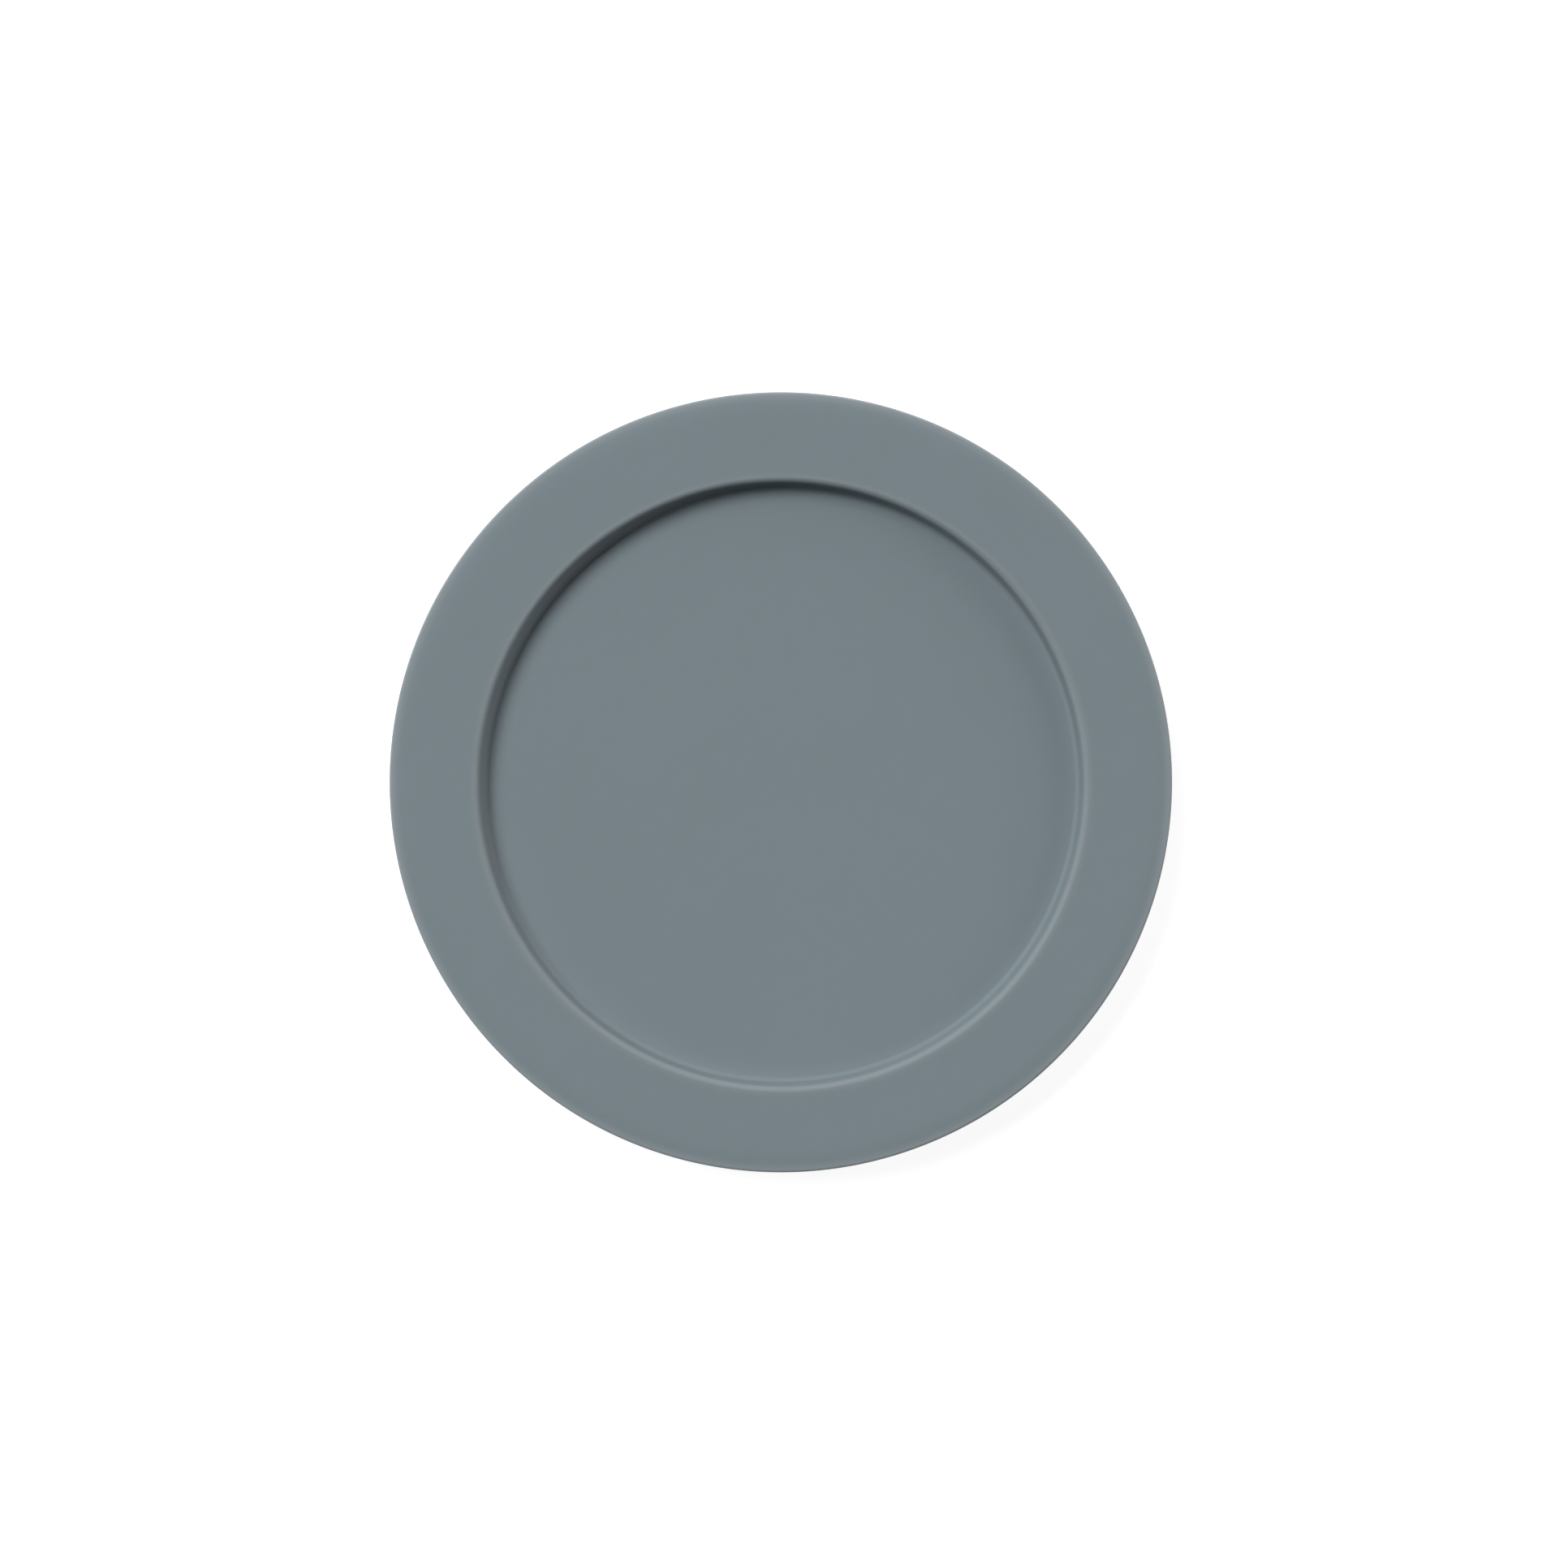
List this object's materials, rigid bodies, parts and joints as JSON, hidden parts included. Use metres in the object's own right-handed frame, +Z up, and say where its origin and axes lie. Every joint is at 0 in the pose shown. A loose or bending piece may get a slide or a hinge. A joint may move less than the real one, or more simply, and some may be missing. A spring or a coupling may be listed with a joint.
{
  "type": "plate",
  "caption": "Round matt-glazed stoneware plate with a wide flat rim, a shallow flat-bottomed well and a foot ring.",
  "frame": {"origin": "centre of the foot ring's resting plane", "axes": "+Z up along the turning axis, out of the well; X and Y are free, the plate is round"},
  "size_m": [0.27, 0.27, 0.017],
  "materials": {
    "bare_stoneware": "unglazed fired clay, fine and dry",
    "matt_glaze": "smooth matt glaze, blue-grey",
    "matt_glaze_underside": "smooth matt glaze, blue-grey"
  },
  "bodies": {
    "root": {"stoneware_body": "bare_stoneware", "face_glaze": "matt_glaze", "foot_recess_glaze": "matt_glaze_underside"}
  },
  "joints": []
}
